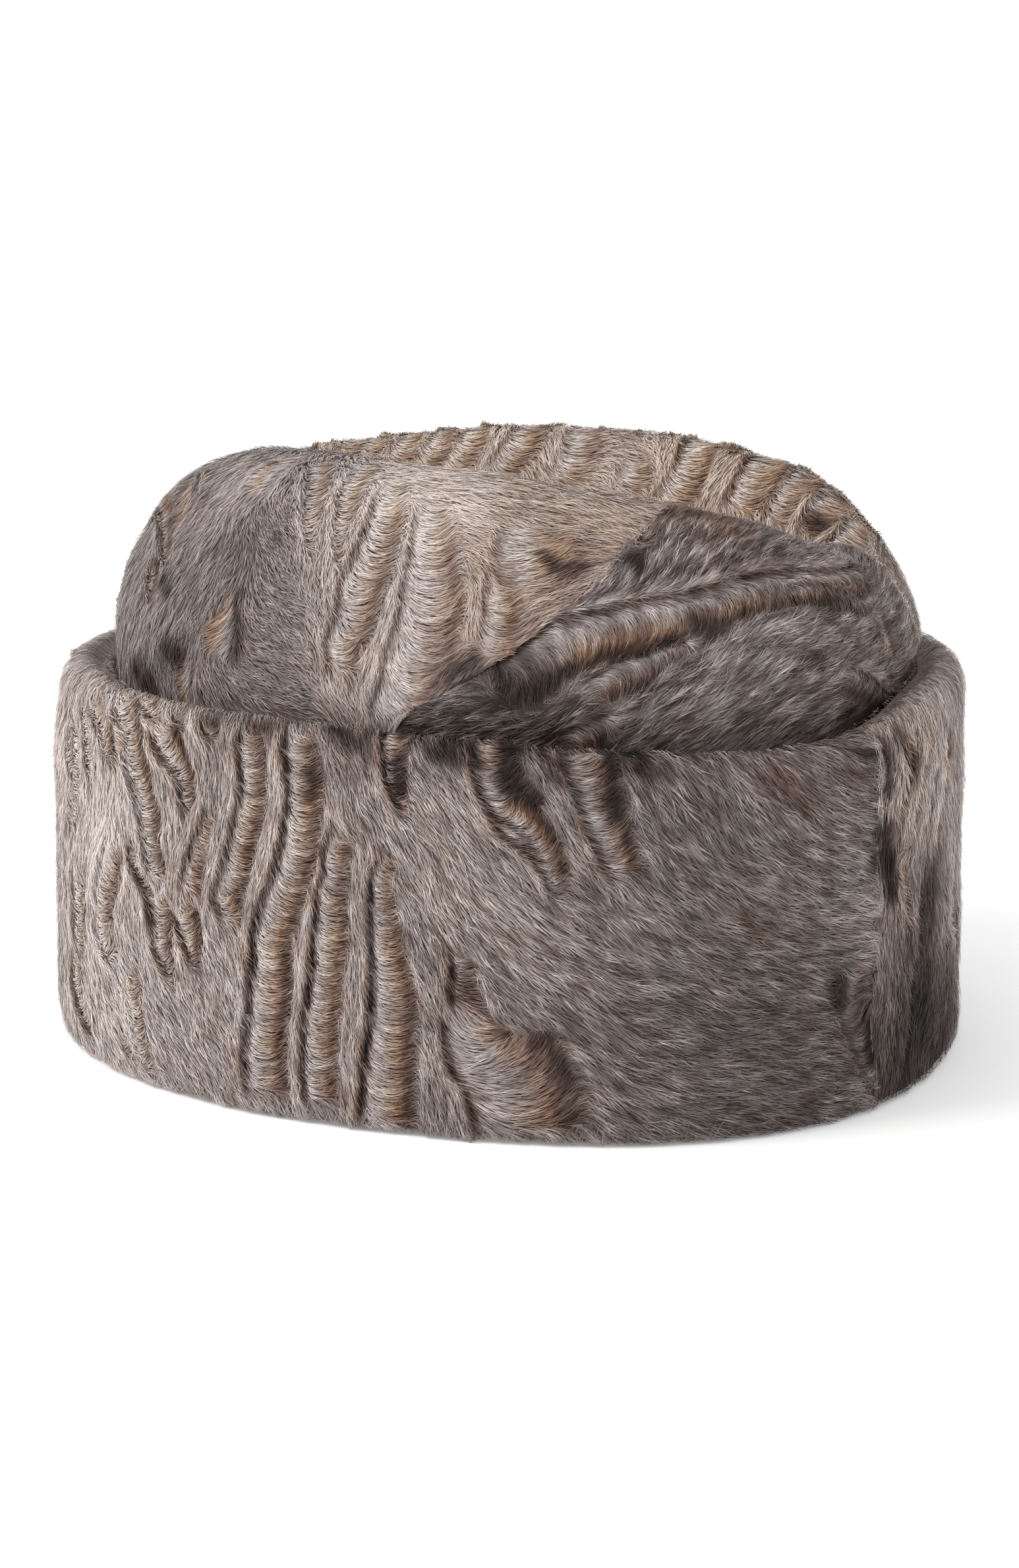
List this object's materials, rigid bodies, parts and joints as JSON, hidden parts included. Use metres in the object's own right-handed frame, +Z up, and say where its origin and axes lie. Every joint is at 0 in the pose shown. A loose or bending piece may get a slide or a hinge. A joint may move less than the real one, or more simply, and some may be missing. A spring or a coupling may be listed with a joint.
{
  "type": "fur hat",
  "caption": "Soft fur hat with a tall turned-up cuff, a lengthwise creased crown and sewn pelts with rows of flat curls.",
  "frame": {"origin": "middle of the hat's footprint, on the surface that it rests on", "axes": "+Z up, -X towards the front of the hat and +X towards its back, -Y the wearer's left"},
  "size_m": [0.244, 0.1956, 0.1592],
  "materials": {
    "crown_pale_fur": "flat curly fur, pale beige tips over brown roots",
    "crown_dark_fur": "flat wavy fur, grey tips over dark brown roots",
    "crown_brown_fur": "flat curly fur, beige tips over tan and brown roots",
    "cuff_grey_fur": "flat curly fur, grey beige tips over brown roots",
    "cuff_brown_fur": "flat curly fur, grey beige tips over dark roots"
  },
  "bodies": {
    "root": {"crown_left_front_pelt": "crown_pale_fur", "crown_left_rear_pelt": "crown_dark_fur", "crown_right_pelt": "crown_brown_fur", "cuff_left_pelt": "cuff_grey_fur", "cuff_right_pelt": "cuff_brown_fur"}
  },
  "joints": []
}
